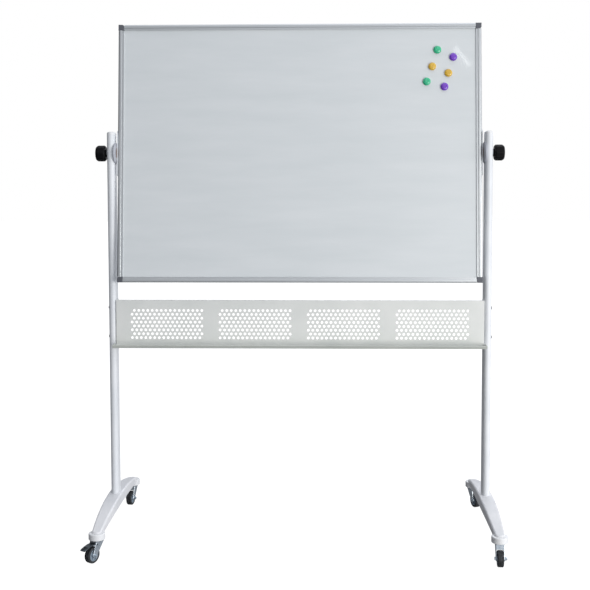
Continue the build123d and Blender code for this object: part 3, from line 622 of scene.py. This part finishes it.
for side, direction in (("left", -1), ("right", 1)):
    low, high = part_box(f"{side}_knob")
    base = Vector((high.x if side == "left" else low.x, (low.y + high.y) / 2, (low.z + high.z) / 2))
    place = facing(base, (direction, 0, 0))
    placed_copy(
        knob_model,
        f"{side}_grip_knob",
        place,
        f"{side}_knob",
        knob_plastic,
        f"{side}_knob",
    )
discard(knob_model)

# Magnets: a domed cap with a groove round its face, a sunken ring and a centre dot.
low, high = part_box("magnet_green_upper")
magnet_radius = (high.x - low.x) / 2
magnet_model = turned(
    "magnet_model",
    64,
    [
        (0.955 * magnet_radius, 0),
        (magnet_radius, 0.7 * MM),
        (magnet_radius, 2.9 * MM),
        (0.985 * magnet_radius, 3.7 * MM),
        (0.93 * magnet_radius, 4.5 * MM),
        (0.90 * magnet_radius, 4.3 * MM),
        (0.86 * magnet_radius, 4.9 * MM),
        (0.78 * magnet_radius, 6.0 * MM),
        (0.66 * magnet_radius, 7.0 * MM),
        (0.56 * magnet_radius, 7.4 * MM),
        (0.53 * magnet_radius, 6.6 * MM),
        (0.44 * magnet_radius, 6.6 * MM),
        (0.41 * magnet_radius, 7.6 * MM),
        (0.22 * magnet_radius, 7.9 * MM),
        (0.17 * magnet_radius, 7.9 * MM),
        (0.15 * magnet_radius, 7.2 * MM),
        (0.04 * magnet_radius, 7.1 * MM),
    ],
)
smooth(magnet_model, 28)
for name in sorted(n for n in nodes if n.startswith("magnet_")):
    low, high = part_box(name)
    base = Vector(
        (
            (low.x + high.x) / 2,
            high.y - magnet_radius * math.sin(BOARD_LEAN),
            low.z + magnet_radius * math.cos(BOARD_LEAN),
        )
    )
    place = facing(base, (0, -math.cos(BOARD_LEAN), math.sin(BOARD_LEAN)))
    slot = slot_of[name]
    cap_name = name.removeprefix("magnet_") + "_magnet_cap"
    placed_copy(magnet_model, cap_name, place, name, SLOT_MATERIALS[slot], name)
discard(magnet_model)

# Wheel centres: a dished disc each side with five raised ribs, a rim lip and a bearing boss.
hub_low, hub_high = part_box("front_right_wheel_hub")
hub_radius = (hub_high.z - hub_low.z) / 2
HALF_HUB = 11.0 * MM
HUB_RIBS = 5
hub_rings = [
    (hub_radius, 0),
    (hub_radius, 8.4 * MM),
    (0.95 * hub_radius, 8.9 * MM),
    (0.88 * hub_radius, 8.7 * MM),
    (0.82 * hub_radius, 5.2 * MM),
    (0.60 * hub_radius, 4.6 * MM),
    (0.47 * hub_radius, 5.4 * MM),
    (0.40 * hub_radius, 8.2 * MM),
    (0.38 * hub_radius, HALF_HUB - 0.4 * MM),
    (0.35 * hub_radius, HALF_HUB),
    (0.20 * hub_radius, HALF_HUB),
    (0.18 * hub_radius, HALF_HUB - 3 * MM),
]
half_hub = turned("hub_half", 60, hub_rings)
other_half = half_hub.copy()
other_half.data = half_hub.data.copy()
bpy.context.collection.objects.link(other_half)
other_half.data.transform(Matrix.Rotation(math.pi, 4, "X"))
ribs = []
for turn in range(HUB_RIBS):
    for sign in (-1, 1):
        bpy.ops.object.select_all(action="DESELECT")
        bpy.ops.mesh.primitive_cube_add(size=1, location=(0, 0, 0))
        rib = bpy.context.object
        rib.data.transform(Matrix.Diagonal((0.42 * hub_radius, 2.0 * MM, 3.4 * MM, 1)))
        rib.data.transform(Matrix.Translation((0.64 * hub_radius, 0, sign * 6.0 * MM)))
        rib.data.transform(Matrix.Rotation(turn * math.tau / HUB_RIBS, 4, "Z"))
        apply_modifier(rib, "BEVEL", width=0.5 * MM, segments=2)
        ribs.append(rib)
hub_model = join_pieces("hub_model", [half_hub, other_half, *ribs])
smooth(hub_model, 30)
for corner in ("front_left", "front_right", "rear_left", "rear_right"):
    roll = joints[f"{corner}_wheel_roll"]
    place = facing(roll["pos_m"], roll["axis"], 0.4)
    placed_copy(
        hub_model,
        f"{corner}_ribbed_hub",
        place,
        f"{corner}_wheel",
        hub_plastic,
        f"{corner}_wheel_hub",
    )
discard(hub_model)

# Brake pedal: a pressed blade that bends down towards its tip, with three grip ribs across it and
# an ear round each trunnion.
press = joints["front_left_brake_press"]
trunnions = Vector(press["axis"])
pedal_turn = math.atan2(trunnions.y, trunnions.x)
pedal_place = Matrix.Translation(press["pos_m"]) @ Matrix.Rotation(pedal_turn, 4, "Z")
bpy.ops.object.select_all(action="DESELECT")
bpy.ops.mesh.primitive_cube_add(size=1)
blade = bpy.context.object
blade.data.transform(Matrix.Diagonal((22.0 * MM, 20.0 * MM, 2.4 * MM, 1)))
blade.data.transform(Matrix.Translation((0, -10.0 * MM, 2.0 * MM)))
open_for_edit(blade)
choose(blade, "faces", lambda f: f.normal.y < -0.9)
bpy.ops.mesh.extrude_region_move(
    TRANSFORM_OT_translate={"value": (0, -13.0 * MM, -2.6 * MM)}
)
bpy.ops.mesh.extrude_region_move(
    TRANSFORM_OT_translate={"value": (0, -13.5 * MM, -4.2 * MM)}
)
bpy.ops.mesh.extrude_region_move(
    TRANSFORM_OT_translate={"value": (0, -5.0 * MM, -2.2 * MM)}
)
bpy.ops.transform.resize(value=(0.86, 1, 0.9))
bpy.ops.object.mode_set(mode="OBJECT")
apply_modifier(blade, "BEVEL", width=0.8 * MM, segments=3)
pieces = [blade]
for rib_y, rib_z in ((-36.0, -2.0), (-41.0, -3.6), (-46.0, -5.2)):
    bpy.ops.object.select_all(action="DESELECT")
    bpy.ops.mesh.primitive_cube_add(size=1)
    rib = bpy.context.object
    rib.data.transform(Matrix.Diagonal((17.0 * MM, 2.0 * MM, 2.4 * MM, 1)))
    rib.data.transform(Matrix.Translation((0, rib_y * MM, (rib_z + 2.2) * MM)))
    apply_modifier(rib, "BEVEL", width=0.7 * MM, segments=2)
    pieces.append(rib)
for side in (-1, 1):
    ear = turned(
        "pedal_ear",
        32,
        [
            (4.6 * MM, 0),
            (5.0 * MM, 0.4 * MM),
            (5.0 * MM, 1.6 * MM),
            (2.4 * MM, 2.0 * MM),
            (2.4 * MM, 4.4 * MM),
        ],
    )
    ear.data.transform(facing((side * 8.8 * MM, 0, 0), (side, 0, 0)))
    pieces.append(ear)
pedal_model = join_pieces("pedal_model", pieces)
smooth(pedal_model, 30)
placed_copy(
    pedal_model,
    "front_left_pressed_pedal",
    pedal_place,
    "front_left_pedal",
    pedal_steel,
    "front_left_brake_pedal",
)
discard(pedal_model)


# ---- Studio ----

bpy.ops.object.select_all(action="DESELECT")
bpy.ops.mesh.primitive_plane_add(size=60, location=(0, 0, 0))
floor = bpy.context.object
floor.name = "studio_floor"
floor_material, floor_shader, _ = new_material("pale_studio_floor", "#6E6E6E", 0.9)
floor_shader.inputs["Emission Color"].default_value = linear("#FFFFFF")
floor_shader.inputs["Emission Strength"].default_value = 0.97
wear(floor, floor_material)  # it glows, so that it is as white as the backdrop
floor.visible_diffuse = False  # its bounce would wash out the sides of the stand
floor.visible_glossy = False

world = bpy.data.worlds.new("studio")
bpy.context.scene.world = world
world.use_nodes = True
world.node_tree.nodes.clear()
direction = add_node(world, "ShaderNodeTexCoord")
# The room's light: a direction that it comes from, and its strength there
ROOM_LIGHTS = (
    ((0.66, -0.75, 0.05), 0.80),
    ((0.0, 1.0, 0.1), 0.26),
    ((0.1, 0.1, 1.0), 0.58),
    ((0.9, 0.0, -0.5), 0.16),
)
total, total_output = None, 0
for comes_from, strength in ROOM_LIGHTS:
    towards = add_node(
        world,
        "ShaderNodeVectorMath",
        {"operation": "DOT_PRODUCT", 1: Vector(comes_from).normalized()},
        {0: (direction, "Generated")},
    )
    share = add_node(
        world,
        "ShaderNodeMapRange",
        {"interpolation_type": "SMOOTHSTEP", "From Min": 0.05, "To Max": strength},
        {"Value": (towards, "Value")},
    )
    if total is None:
        total, total_output = share, "Result"
    else:
        total = add_node(
            world,
            "ShaderNodeMath",
            {"operation": "ADD"},
            {0: (total, total_output), 1: (share, "Result")},
        )
        total_output = 0
base_light = add_node(world, "ShaderNodeMath", {"operation": "ADD", 1: 0.07}, {0: (total, 0)})
room = add_node(
    world,
    "ShaderNodeBackground",
    {"Color": linear("#F6F9FF")},
    {"Strength": (base_light, 0)},
)
backdrop = add_node(world, "ShaderNodeBackground", {"Color": (1, 1, 1, 1), "Strength": 1.0})
ray = add_node(world, "ShaderNodeLightPath")
either = add_node(
    world,
    "ShaderNodeMixShader",
    links={0: (ray, "Is Camera Ray"), 1: (room, "Background"), 2: (backdrop, "Background")},
)
add_node(world, "ShaderNodeOutputWorld", links={"Surface": (either, "Shader")})


def soft_light(name, place, target, size, power, colour):
    data = bpy.data.lights.new(name, "AREA")
    data.shape = "RECTANGLE"
    data.size, data.size_y = size
    data.energy = power
    data.color = linear(colour)[:3]
    light = bpy.data.objects.new(name, data)
    bpy.context.collection.objects.link(light)
    aim = Vector(target) - Vector(place)
    light.matrix_world = Matrix.Translation(place) @ aim.to_track_quat("-Z", "Y").to_matrix().to_4x4()
    light.visible_camera = False
    return light


soft_light("key", (2.4, -2.6, 0.7), (0, 0, 1.0), (1.6, 1.6), 58, "#FFFDF8")
soft_light("overhead", (0.4, -0.6, 4.6), (0, 0, 0.6), (4.0, 3.0), 26, "#F6F9FF")
soft_light("rear", (1.2, 4.4, 2.6), (0, 0, 0.9), (3.0, 2.4), 60, "#F6F9FF")
# A slit of daylight, whose leaning reflection shows near the magnets.
slit = soft_light("slit", (0.99, -3.1, 2.59), (0.545, 0, 1.6), (0.025, 0.16), 0.11, "#FFFFFF")
slit.matrix_world = slit.matrix_world @ Matrix.Rotation(math.radians(38), 4, "Z")
